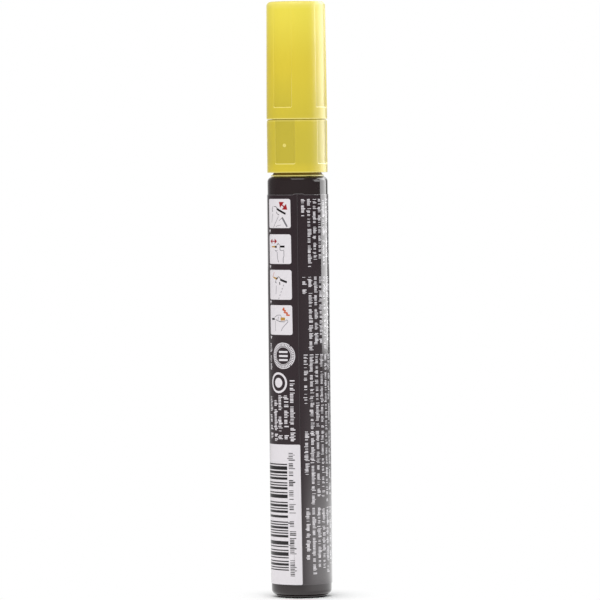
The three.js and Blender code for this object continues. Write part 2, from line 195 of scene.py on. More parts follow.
def rounded(corners, step=11.0, support=0.05):
    """A profile through corners (r, z, fillet), closed unless it starts on the axis. A corner gives
    way to an arc tangent to both its sides: with h half the angle between them, the arc starts
    q / tan h from the corner and its centre lies q / sin h along their bisector. Points just beyond
    each arc keep long faces flat."""
    at = np.array([c[:2] for c in corners], float)
    count, closed = len(at), corners[0][0] != 0
    walked = []
    for i in range(count):
        radius = corners[i][2]
        if radius == 0 or (not closed and i in (0, count - 1)):
            walked.append(at[i][None])
            continue
        back, ahead = at[i - 1] - at[i], at[(i + 1) % count] - at[i]
        room = [
            max(np.hypot(*side) * 0.45, np.hypot(*side) - corners[near % count][2])
            for side, near in ((back, i - 1), (ahead, i + 1))]
        back, ahead = back / np.hypot(*back), ahead / np.hypot(*ahead)
        half = math.acos(float(np.clip(back @ ahead, -1, 1))) / 2
        cut = min(radius / math.tan(half), *room)
        middle = (back + ahead) / np.hypot(*(back + ahead)) * cut / math.cos(half)
        sweep = math.pi - 2 * half
        t = np.linspace(0, 1, max(2, math.ceil(math.degrees(sweep) / step)) + 1)[:, None]
        first, last = back * cut - middle, ahead * cut - middle
        swung = (np.sin((1 - t) * sweep) * first + np.sin(t * sweep) * last) / math.sin(sweep)
        walked.append(at[i] + middle + swung)
    points = np.vstack(walked)
    ahead = np.roll(points, -1, 0) - points
    length = np.hypot(*ahead.T)
    long = np.flatnonzero((length > support * 6) & (closed | (np.arange(len(points)) < len(points) - 1)))
    unit = ahead / np.maximum(length, 1e-9)[:, None]
    near, far = points + unit * support, points + ahead - unit * support
    order = np.concatenate([np.arange(len(points)), long + 0.3, long + 0.6])
    return np.vstack([points, near[long], far[long]])[np.argsort(order)]


def washer(inner, outer, low, high, fillet, rim=None):
    """A flat ring's profile, its outer corners rounded by rim where that differs."""
    rim = rim or fillet
    return rounded([(inner, low, fillet), (outer, low, rim), (outer, high, rim), (inner, high, fillet)])


def with_heights(profile, least_radius, heights):
    """The profile with points added at these heights wherever its outside wall climbs past them."""
    rows = [profile[:1]]
    for here, there in zip(profile[:-1], profile[1:]):
        if min(here[0], there[0]) > least_radius and there[1] > here[1]:
            z = heights[(heights > here[1] + 1e-6) & (heights < there[1] - 1e-6)][:, None]
            rows.append(here + (there - here) * (z - here[1]) / (there[1] - here[1]))
        rows.append(there[None])
    return np.vstack(rows)


# Surfaces, as (points, faces)


def about_axis(r, azimuth, z):
    """Points round the axis: (r sin a, -r cos a, z)."""
    a = np.radians(azimuth)
    return np.stack(np.broadcast_arrays(r * np.sin(a), -r * np.cos(a), z), -1)


def quarters(*turns, middle=0):
    """Azimuths of these turns from each of four azimuths a quarter apart."""
    return [middle + quarter + turn for quarter in (0, 90, 180, 270) for turn in turns]


def from_quarter(azimuth):
    """The turn from the nearest of azimuths 0, 90, 180 and 270: -45 to 45."""
    return (azimuth + 45) % 90 - 45


def round_about(count=144, spots=(), reach=5.0, fine=0.45):
    """Azimuths all round: even ones, and close ones within reach of each spot."""
    close = [np.arange(s - reach, s + reach, fine) for s in spots]
    all_round = np.sort(np.concatenate([np.arange(count) * 360 / count, *close]) % 360)
    gap = np.diff(all_round, append=all_round[0] + 360)
    return all_round[gap > fine * 0.4]


def quads(rows, columns, ring=True, loop=False):
    """Faces of a grid of points: ring closes every row, and loop joins the last row to the first."""
    i, j = np.meshgrid(np.arange(rows - (not loop)), np.arange(columns - (not ring)), indexing="ij")
    k, m = (i + 1) % rows, (j + 1) % columns
    return np.stack([i * columns + j, i * columns + m, k * columns + m, k * columns + j], -1).reshape(-1, 4)


def shelled(outside, count):
    """Faces of a closed shell: these on its outside, the same ones turned over on its inside, whose
    points come count later, and a wall along each edge that no second face shares."""
    edges = np.stack([outside, np.roll(outside, -1, 1)], -1).reshape(-1, 2)
    alone = ~np.isin(edges @ [count, 1], edges @ [1, count])
    start, end = edges[alone].T
    walls = np.stack([end, start, start + count, end + count], -1)
    return np.vstack([outside, outside[:, ::-1] + count, walls])


def turned(profile, azimuths=None, pressed=None):
    """The profile carried round the axis. It runs up its outside and down its inside. One that
    starts and ends on the axis is closed by fans there, any other joins its end to its start.
    pressed(r, a, z) gives the radii of a wall with sunk places."""
    on_axis = profile[0, 0] == 0
    wall = profile[1:-1] if on_axis else profile
    r, a, z = np.broadcast_arrays(wall[:, :1], round_about() if azimuths is None else azimuths, wall[:, 1:])
    points = about_axis(pressed(r, a, z) if pressed else r, a, z).reshape(-1, 3)
    rows, columns = a.shape
    faces = quads(rows, columns, loop=not on_axis).tolist()
    if on_axis:
        points = np.vstack([points, [[0, 0, profile[0, 1]], [0, 0, profile[-1, 1]]]])
        here, last_row = np.arange(columns), (rows - 1) * columns
        onward, pole = np.roll(here, -1), 0 * here + rows * columns
        faces += np.stack([pole, onward, here], -1).tolist()
        faces += np.stack([pole + 1, here + last_row, onward + last_row], -1).tolist()
    return points, faces


def put(name, skin, slot, body="barrel_body", node="", finish="", sharp=38, **marks):
    """Makes a piece that rides on its body and stands for its node: in metres, smooth but for edges
    sharper than the angle. Its finish has its slot's name, unless it is given another."""
    points, faces = skin
    mesh = bpy.data.meshes.new(name)
    mesh.from_pydata((points / 1000).tolist(), [], faces)
    mesh.shade_smooth()
    mesh.set_sharp_from_angle(angle=math.radians(sharp))
    for mark, values in marks.items():
        mesh.attributes.new(mark, "FLOAT", "POINT").data.foreach_set("value", values.astype(np.float32))
    made = bpy.data.objects.new(name, mesh)
    bpy.context.scene.collection.objects.link(made)
    mesh.materials.append(finish_named(finish or slot))
    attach(made, body)
    if node:
        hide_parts(node)
    return made


# Sunk panels of the cap and collar


def panel_depth(azimuths, radii, heights, middle, width, low, slope, corner=0.45):
    """1 on the floor of a sunk panel and 0 on the wall round it, eased over the slope. With x the
    place across the panel, d = |max(q, 0)| + min(max(q), 0) - corner is the distance outside a
    round-cornered outline open at its top, q = (|x| - w / 2 + corner, low + corner - z)."""
    across = np.abs(radii * np.sin(np.radians(from_quarter(azimuths - middle)))) - width / 2 + corner
    below = low + corner - heights
    outside = np.hypot(np.maximum(across, 0), np.maximum(below, 0))
    d = outside + np.minimum(np.maximum(across, below), 0) - corner
    return eased(-d / slope)


def panelled(profile, outline, least_radius, floor, top, spacing, side=0.0):
    """A turned wall whose outside, r, sinks to r - depth (r - floor) inside four panels. Its rows
    are close round their lower edges and even from there to the top, and its azimuths, spaced by
    (count, radius, reach, fine), close at their sides. Gives the skin, its radii and heights, how
    far it is sunk, which is used to paint shade on the panel floors, and where painted highlights
    go on the slopes: 4 d (1 - d), most along the ledge, and by side along the lower part of the
    slopes that face left."""
    def pressed(r, a, z):
        return r - panel_depth(a, r, z, **outline) * (r > least_radius) * np.maximum(r - floor, 0)

    count, radius, reach, fine = spacing
    middle, low = outline["middle"], outline["low"]
    half = math.degrees(math.asin(outline["width"] / 2 / radius))
    rows = np.concatenate([np.arange(low - 0.1, low + 0.75, 0.05), np.linspace(low + 0.8, top, 30)])
    profile = with_heights(profile, least_radius, rows)
    sides = quarters(-half, half, middle=middle)
    points, faces = turned(profile, round_about(count, sides, reach, fine), pressed)
    x, y, z = points.T
    r, a = np.hypot(x, y), np.degrees(np.arctan2(x, -y))
    depth = panel_depth(a, r, z, **outline) * (r > least_radius)
    ledge = np.clip((low + 0.5 - z) / 0.25, 0, 1)
    upright = side * (from_quarter(a - middle) > 0) * np.clip((low + 9 - z) / 5, 0, 1)
    # Painted highlight on the slopes round each panel
    lit = np.minimum(1, 4 * depth * (1 - depth)) * (0.12 + 0.88 * np.maximum(ledge, upright))
    return (points, faces), r, z, depth, lit


# Materials


class Signal:
    """A shader socket that arithmetic can be written on: each operator adds a Math node."""

    def __init__(self, finish, socket):
        self.finish = finish
        self.socket = socket

    def maths(self, operation, first, second):
        return self.finish.node("ShaderNodeMath", {"operation": operation}, {0: first, 1: second})

    def __add__(self, other):
        return self.maths("ADD", self, other)

    def __sub__(self, other):
        return self.maths("SUBTRACT", self, other)

    def __rsub__(self, other):
        return self.maths("SUBTRACT", other, self)

    def __mul__(self, other):
        return self.maths("MULTIPLY", self, other)

    def __truediv__(self, other):
        return self.maths("DIVIDE", self, other)

    def __rtruediv__(self, other):
        return self.maths("DIVIDE", other, self)

    __radd__, __rmul__ = __add__, __mul__


class Finish:
    """The nodes of one material, or of the world."""

    def __init__(self, block):
        self.block = block
        block.use_nodes = True
        self.tree = block.node_tree
        self.tree.nodes.clear()

    def node(self, kind, settings=None, sockets=None, output=0):
        """Adds a node, sets its settings and then its sockets, and gives one of its outputs."""
        made = self.tree.nodes.new(kind)
        for name, value in (settings or {}).items():
            if name == "stops":
                stops = made.color_ramp.elements
                for k, (place, level) in enumerate(value):
                    stop = stops[k] if k < 2 else stops.new(place)
                    stop.position, stop.color = place, (level, level, level, 1)
            else:
                setattr(made, name, value)
        for name, value in (sockets or {}).items():
            if isinstance(value, Signal):
                self.tree.links.new(value.socket, made.inputs[name])
            elif isinstance(value, tuple) and made.inputs[name].type == "RGBA":
                made.inputs[name].default_value = (*value, 1)
            else:
                made.inputs[name].default_value = value
        return Signal(self, made.outputs[output] if made.outputs else None)

    def limited(self, value, low, high):
        """0 up to low and 1 from high on, eased between."""
        return self.node(
            "ShaderNodeMapRange", {"interpolation_type": "SMOOTHSTEP"},
            {"Value": value, "From Min": low, "From Max": high})

    def ramp(self, value, *stops):
        """Greys through these (place, level)."""
        return self.node("ShaderNodeValToRGB", {"stops": stops}, {0: value})

    def blend(self, factor, first, second):
        """A colour from first to second."""
        return self.node(
            "ShaderNodeMix", {"data_type": "RGBA"}, {0: factor, 6: first, 7: second}, output=2)

    def shades(self, factor, colour, dark, light=1.0):
        """A colour from one shade of it to another."""
        return self.blend(factor, shade(colour, dark), shade(colour, light))

    def place(self, output="Object"):
        return self.node("ShaderNodeTexCoord", output=output)

    def along(self, axis, way):
        """One coordinate, such as the height over the foot in metres."""
        return self.node("ShaderNodeSeparateXYZ", {}, {"Vector": way}, output=axis)

    def grain(self, scale, stretch=(1, 1, 1), detail=2.0):
        """Noise on object coordinates, scale in features per metre."""
        spread = self.node("ShaderNodeMapping", {}, {"Vector": self.place(), "Scale": stretch})
        return self.node(
            "ShaderNodeTexNoise", {}, {"Vector": spread, "Scale": scale, "Detail": detail})

    def mark(self, name):
        """A number stored on the mesh's points."""
        return self.node("ShaderNodeAttribute", {"attribute_name": name}, output="Fac")

    def ray(self, kind):
        return self.node("ShaderNodeLightPath", output="Is " + kind + " Ray")

    def glow(self, colour, strength=1.0):
        return self.node("ShaderNodeEmission", {}, {"Color": colour, "Strength": strength})

    def mixed(self, factor, first, second):
        """A shader from first to second."""
        return self.node("ShaderNodeMixShader", {}, {0: factor, 1: first, 2: second})

    def end(self, shader, kind="ShaderNodeOutputMaterial"):
        self.node(kind, {}, {"Surface": shader})
        return self.block

    def surface(self, colour, roughness, relief, depth, **constants):
        """Ends the material. Its colour, roughness and relief, which is depth metres high, may vary
        over the piece."""
        bump = self.node("ShaderNodeBump", {}, {"Height": relief, "Distance": depth, "Strength": 1.0})
        sockets = {"Base Color": colour, "Roughness": roughness, "IOR": 1.5, "Normal": bump}
        sockets.update((name.replace("_", " "), value) for name, value in constants.items())
        self.end(self.node("ShaderNodeBsdfPrincipled", {}, sockets))


def shade(colour, factor=1.0):
    return tuple(float(min(1, x * factor)) for x in colour)


# Finishes: f is the material that is being made and c holds the marker's colours


def black_lacquer(f, c):
    """Sprayed lacquer: faint orange peel and hairline rubbing round the barrel."""
    peel, rubbed = f.grain(900, detail=1.0), f.grain(500, (0.4, 0.4, 9.0), 3.0)
    colour = f.shades(f.grain(120), c.lacquer, 0.9, 1.12)
    f.surface(colour, 0.05 + 0.06 * rubbed, peel + 0.15 * rubbed, 0.0000012)


def label_film(f, c):
    """Shrunk printed film: soft ripples, fine mottling of the ground, and a painted highlight along
    its cut edges.
    """
    ripple, mottle = f.grain(160, (1, 1, 0.35), 1.0), f.grain(2600, detail=3.0)
    # The cut mark paints a highlight along the film's cut edges
    colour = f.blend(f.mark("cut"), f.shades(mottle, c.film, 0.86, 1.16), (0.2, 0.19, 0.195))
    f.surface(colour, 0.055 + 0.05 * mottle, ripple + 0.02 * mottle, 0.000004, IOR=1.65)


def yellow_plastic(f, c):
    """Moulded plastic. Light and shade are painted into its colour: painted shade low down, on the
    sunk panel floors and on the neck, painted light towards the crown and at the collar's foot, and
    painted highlights along edges.
    """
    flow, skin, sink = f.grain(70, (1, 1, 0.3)), f.grain(5200), f.grain(260, (1, 1, 0.5), 1.0)
    height, plain = f.along("Z", f.place()), shade(c.plastic)
    # Painted shade low down and painted light towards the crown, by height
    colour = f.blend(f.limited(height, 0.1045, 0.127), shade(c.plastic_low), plain)
    colour = f.blend(f.limited(height, 0.124, 0.1405), colour, shade(c.plastic_top))
    # Painted light: the collar's foot is lightened back towards the plain yellow
    colour = f.blend((1 - f.limited(height, 0.1008, 0.1026)) * 0.5, colour, plain)
    colour = f.blend(f.limited(flow, 0.3, 0.75) * 0.12, colour, plain)
    # Painted shade on the sunk panel floors
    colour = f.blend(f.mark("sunk"), colour, shade(c.plastic_low, 0.92))
    # Painted shade on the neck under the collar
    colour = f.blend(f.mark("deep"), colour, shade(c.plastic_deep))
    # Painted highlights along edges and slopes, on the gate mark and on the rims round the gaps
    colour = f.blend(f.mark("lit"), colour, shade(c.plastic_edge))
    f.surface(colour, 0.5 + 0.08 * skin, skin * 0.1 + sink, 0.000006, Coat_Weight=0.72, Coat_Roughness=0.24)


def natural_plastic(f, c):
    flow, skin = f.grain(300, (1, 1, 0.4)), f.grain(4200)
    f.surface(f.shades(flow, c.natural, 0.93), 0.32 + 0.12 * skin, skin, 0.000006)


def nib_fibre(f, c):
    """Bonded polyester: strands along the rod."""
    strands, fuzz = f.grain(3800, (1, 1, 0.05)), f.grain(9000, (1, 1, 0.4))
    f.surface(f.shades(strands, c.fibre, 0.82), 0.8 + 0.15 * fuzz, strands + 0.5 * fuzz, 0.00006, IOR=1.45)


def seal_rubber(f, c):
    bloom = f.grain(1500, detail=3.0)
    f.surface(f.shades(bloom, c.rubber, 0.8, 1.4), 0.55 + 0.25 * bloom, bloom, 0.00001)


def bright_steel(f, c):
    drawn = f.grain(2400, detail=4.0)
    f.surface(f.shades(f.grain(500), c.steel, 0.85), 0.14 + 0.2 * drawn, drawn, 0.000004, Metallic=1.0)


def ink(f, colour):
    """Printed ink under the film's gloss, with its screen's fine mottling."""
    mottle, ripple = f.grain(3400, detail=3.0), f.grain(160, (1, 1, 0.35), 1.0)
    f.surface(f.shades(mottle, colour, 0.94, 1.03), 0.1 + 0.06 * mottle, ripple + 0.02 * mottle, 0.000004)


finishes = {made.__name__: made for made in (
    black_lacquer, label_film, yellow_plastic, natural_plastic, nib_fibre, seal_rubber, bright_steel)}


def finish_named(name):
    """The material of that finish or ink, made on first use."""
    known = bpy.data.materials.get(name + "_finish")
    if known:
        return known
    f, c = Finish(bpy.data.materials.new(name + "_finish")), bpy.context.scene.marker_colours
    if name in finishes:
        finishes[name](f, c)
    else:
        ink(f, getattr(c, name))
    return f.block


# The film's outside, and print laid on it


def film_skin(label):
    """Radius of the film where it lies single: its print rises above it, within the film's radius."""
    return mm(label.film_radius) - 0.012


def seam_azimuth(label, z):
    """Azimuth of the film's outer end: seam + drift t^4, t from 0 at its top to 1 at its bottom."""
    low, high = mm(label.film_bottom), mm(label.film_top)
    t = np.clip((high - z) / (high - low), 0, 1)
    return math.degrees(label.seam) + math.degrees(label.seam_drift) * t ** 4


def film_outside(label, azimuth, z):
    """Radius of the film: its own, and the overlap's rise left of the seam, reached by a ramp."""
    behind = (seam_azimuth(label, z) - azimuth) % 360
    start, ramp = math.degrees(label.overlap), math.degrees(label.ramp)
    return film_skin(label) + mm(label.overlap_rise) * eased((start + ramp - behind) / ramp)


def on_film(label, places, rise):
    """Label places (s, z) as points: azimuth (s + slant (top - z)) / R, radius the film's + rise."""
    s, z = places[..., 0], places[..., 1]
    azimuth = np.degrees((s + label.print_slant * (mm(label.film_top) - z)) / mm(label.film_radius))
    return about_axis(film_outside(label, azimuth, z) + rise, azimuth, z)


def printed(label, patches, rise, sink=0.02):
    """Closed slabs on the film, sunk a little into it. Each patch is a grid of places, or several
    grids of one size."""
    points, faces, count = [], [], 0
    for grids in patches:
        grids = grids.reshape(-1, *grids.shape[-3:])
        copies, rows, columns, _ = grids.shape
        layers = [on_film(label, grids, height) for height in (rise, -sink)]
        points.append(np.stack(layers, 1).reshape(-1, 3))
        slab = shelled(quads(rows, columns, ring=False), rows * columns)
        starts = count + np.arange(copies)[:, None, None] * 2 * rows * columns
        faces.append((slab + starts).reshape(-1, 4))
        count += len(points[-1])
    return np.vstack(points), np.vstack(faces).tolist()


def panel_patch(left, right, low, high, corner=0.0):
    """A rectangle's grid, its sides drawn in by c - sqrt(c^2 - (c - d)^2) at d from its ends."""
    z = np.linspace(low, high, 3)
    if corner:
        close = corner * (1 - np.cos(np.linspace(0, math.pi / 2, 7)))
        even = np.linspace(low + corner, high - corner, 4)[1:-1]
        z = np.concatenate([low + close, even, high - close[::-1]])
    d = np.minimum(np.minimum(z - low, high - z), corner)
    inset = corner - np.sqrt(np.maximum(corner ** 2 - (corner - d) ** 2, 0))
    u = np.linspace(0, 1, max(3, math.ceil((right - left) / 0.15) + 1))
    s = (left + inset)[:, None] + (right - left - 2 * inset)[:, None] * u
    return np.stack([s, z[:, None] + 0 * s], -1)


def stroke_patch(path, width, end_width=None):
    """A line of the pictures: its points spaced evenly along the path, then moved to either side
    by half the width, which runs to end_width at its end."""
    path = np.array(path, float)
    along = np.concatenate([[0], np.cumsum(np.hypot(*np.diff(path, axis=0).T))])
    t = np.linspace(0, along[-1], max(3, math.ceil(along[-1] / 0.3) + 1))
    line = np.stack([np.interp(t, along, path[:, k]) for k in (0, 1)], -1)
    heading = np.gradient(line, axis=0)
    heading /= np.hypot(*heading.T)[:, None]
    right = np.stack([heading[:, 1], -heading[:, 0]], -1)
    half = np.linspace(width, width if end_width is None else end_width, len(t)) / 2
    across = np.linspace(-1, 1, max(3, math.ceil(width / 0.2) + 1))
    return line[:, None] + right[:, None] * (half[:, None] * across)[..., None]


def disc_patch(s, z, radius):
    """A square grid drawn into a disc: u sqrt(1 - v^2 / 2), v sqrt(1 - u^2 / 2)."""
    v, u = np.mgrid[-1:1:17j, -1:1:17j]
    return np.stack(
        [s + radius * u * np.sqrt(1 - v * v / 2), z + radius * v * np.sqrt(1 - u * u / 2)], -1)


def ring_patch(s, z, radius, width, start=0, sweep=360):
    """Part of a ring: (s + q cos a, z + q sin a), q across its width."""
    a = np.radians(start + np.linspace(0, sweep, max(3, int(sweep / 9))))[:, None]
    q = radius + np.linspace(0.5, -0.5, 3 + math.ceil(width / 0.2)) * width
    return np.stack([s + q * np.cos(a), z + q * np.sin(a)], -1)


def fine_strokes(lines, height, pitch, stroke, seed):
    """Lines of fine print as short strokes in uneven groups. A line is (s of its middle, upper z,
    lower z) and runs down the marker. Some strokes reach further to the right or to the left."""
    rng = np.random.default_rng(seed)
    grids = []
    for s, high, low in lines:
        groups = [np.r_[np.ones(2 * n, bool), np.zeros(2, bool)] for n in rng.integers(2, 9, 60)]
        shown = np.concatenate(groups)[: int((high - low) / pitch)]
        z = high - pitch * (np.arange(len(shown)) + 0.5)
        reach = rng.random(len(shown))
        left = s - height * np.where(reach > 0.9, 0.85, 0.5)
        right = s + height * np.where(reach < 0.25, 0.92, 0.5)
        thick = stroke * rng.uniform(0.6, 1.5, len(shown))
        shown = shown & (rng.random(len(shown)) > 0.16)
        u = np.linspace(0, 1, 3 if height < 0.75 else 9)
        across = left[:, None] + (right - left)[:, None] * u
        up = z[:, None] + thick[:, None] * np.array([-0.5, 0.5])
        grid = np.stack(np.broadcast_arrays(across[:, None, :], up[:, :, None]), -1)
        grids.append(grid[shown])
    return np.concatenate(grids)


def arrow_patches(start, end, width, head):
    """A line with a triangle at either end."""
    start, end = np.array(start), np.array(end)
    tip = (end - start) / np.hypot(*(end - start)) * head
    return [
        stroke_patch([start + tip * 0.8, end - tip * 0.8], width),
        stroke_patch([end - tip, end], head * 1.6, 0.03),
        stroke_patch([start + tip, start], head * 1.6, 0.03)]


# Lines of the four pictures, by ink and picture: width, then x and y of each point from the
# picture's lower left corner
picture_lines = (
    ("black_print", 0, (
        (0.48, 3.2, 4.5, 5.65, 3.3), (0.14, 2.3, 5.06, 2.95, 5.02), (0.16, 2.95, 5.0, 3.3, 4.5),
        (0.14, 1.9, 5.1, 1.55, 4.3, 1.75, 3.8), (0.14, 3.05, 3.8, 3.3, 3.3, 3.9, 3.1))),
    ("black_print", 1, (
        (0.48, 3.95, 4.08, 5.25, 4.08), (0.5, 2.4, 4.02, 3.0, 4.02),
        (0.14, 3.05, 4.4, 3.45, 4.88, 3.9, 4.4), (0.14, 3.9, 3.9, 4.03, 3.2))),
    ("black_print", 2, (
        (0.5, 3.9, 4.7, 5.7, 4.08), (0.42, 2.65, 4.85, 3.1, 5.05),
        (0.14, 2.95, 5.1, 3.5, 5.42, 3.95, 4.9), (0.24, 3.7, 4.15, 3.78, 3.45))),
    ("black_print", 3, ((0.46, 0.8, 3.7, 1.9, 3.7), (0.13, 2.2, 3.6, 3.5, 3.13, 5.0, 3.05))),
    ("orange_print", 2, ((0.1, 1.95, 6.45, 1.45, 5.4),)),
    ("orange_print", 3, (
        (0.36, 4.9, 6.37, 4.4, 5.86, 5.27, 5.75, 4.8, 5.2, 5.75, 5.18, 5.4, 4.65, 6.3, 4.61),)),
    ("grey_print", 0, (
        (0.42, 4.7, 2.5, 6.0, 0.3), (0.1, 1.75, 3.4, 1.3, 1.3), (0.13, 3.65, 2.7, 2.0, 0.15),
        (0.12, 4.55, 2.3, 3.8, 1.7), (0.1, 2.75, 0.3, 3.4, 0.56, 4.4, 0.75))),
    ("grey_print", 1, (
        (0.15, 2.4, 3.25, 2.8, 2.95, 3.2, 3.25), (0.12, 4.0, 3.2, 4.8, 3.1, 5.1, 3.36),
        (0.15, 3.1, 2.8, 3.2, 1.25, 3.5, 0.35), (0.15, 5.05, 3.1, 5.05, 1.9, 4.83, 1.36, 4.83, 0.2))),
    ("grey_print", 2, (
        (0.16, 2.65, 4.55, 2.2, 4.07, 2.8, 3.9), (0.13, 2.65, 3.3, 2.5, 1.3),
        *((0.15, 4.85 - 0.34 * k, 3.5 - 0.76 * k, 4.7 - 0.34 * k, 3.16 - 0.76 * k) for k in range(5)))),
    ("grey_print", 3, (
        (0.13, 1.9, 4.05, 2.75, 4.6, 3.85, 4.66, 4.05, 4.2), (0.12, 3.2, 4.27, 3.0, 3.5),
        (0.13, 5.1, 3.25, 5.6, 3.58, 5.8, 3.05, 4.25, 1.55, 4.0, 0.9), (0.1, 2.1, 3.3, 2.1, 0.9))),
)


# Operators: one for each piece or group of like pieces


class MARKER_OT_barrel(bpy.types.Operator):
    """Builds the lacquered barrel with its foot and rolled mouth"""

    bl_idname = "marker.barrel"
    bl_label = "Barrel"

    def execute(self, context):
        sizes = context.scene.marker_sizes
        outer, top, wall = mm(sizes.barrel_radius), mm(sizes.barrel_length), mm(sizes.barrel_wall)
        shoulder, base = mm(sizes.shoulder_radius), mm(sizes.base_corner)
        foot, foot_height, dome, floor = outer - 1.1, 0.45, 0.55, 1.35
        meet = math.degrees(math.acos((foot - outer + base) / base))
        mouth, bend = outer - shoulder - 0.15, (outer - shoulder, top - shoulder)
        profile = rounded([
            (0, dome, 0), (foot - 1.5, dome, 0.15), (foot - 1.5, 0, 0.15), (foot, 0, 0.3),
            *arc(outer - base, foot_height + base, base, -meet, 0), *arc(*bend, shoulder, 0, 90),
            (mouth, top, 0.06), (mouth, top - wall, 0.06), *arc(*bend, shoulder - wall, 90, 0),
            (outer - wall, floor, 0.8), (0, floor, 0)])
        put("barrel_shell", turned(profile, round_about(192)), "black_lacquer", node="barrel")
        return {"FINISHED"}


class MARKER_OT_film(bpy.types.Operator):
    """Builds the film: one sheet wound round the barrel, its outer end lying on its inner one"""

    bl_idname = "marker.film"
    bl_label = "Label film"

    def execute(self, context):
        label = context.scene.marker_label
        low, high, thick = mm(label.film_bottom), mm(label.film_top), mm(label.film_thickness)
        seam, overlap, ramp = (math.degrees(x) for x in (label.seam, label.overlap, label.ramp))
        end = 360 + overlap
        wound = np.unique(np.concatenate([
            np.linspace(0, 360 - ramp, 150), np.linspace(360 - ramp, 360, 18),
            np.linspace(360, end, 12), [end - 1, end - 0.6]]))
        rim = np.array([0.04, 0.1])
        z = np.sort(np.concatenate([np.linspace(low, high, 34), low + rim, high - rim]))
        t, level = np.meshgrid(wound, z)
        drift = (seam_azimuth(label, level) - seam) * np.clip((t - 240) / 120, 0, 1)
        azimuth = seam - overlap + t + drift
        outside = np.where(t < 300, film_skin(label), film_outside(label, azimuth - 0.001, level))
        margin = np.minimum(level - low, high - level)
        outside = outside - 0.02 * (margin < 0.02)
        # Painted highlight: the film's top and bottom edges, strongest along the top, and its outer end
        cut = np.maximum(np.where(level > 50, 1.0, 0.3) * (margin < 0.05), 0.22 * (t > end - 0.7))
        # the top edge stands up a little to either side of the seam
        raised = np.clip((10 - np.abs((azimuth + 178.5) % 360 - 180)) / 1.5, 0, 1)
        level = level + 0.24 * np.clip(level - high + 1, 0, 1) * raised
        sheet = np.stack([about_axis(r, azimuth, level) for r in (outside, outside - thick)])
        faces = shelled(quads(*t.shape, ring=False), t.size).tolist()
        put("label_sheet", (sheet.reshape(-1, 3), faces), "label_film", node="label_film", sharp=30,
            cut=np.tile(cut.ravel(), 2))
        return {"FINISHED"}


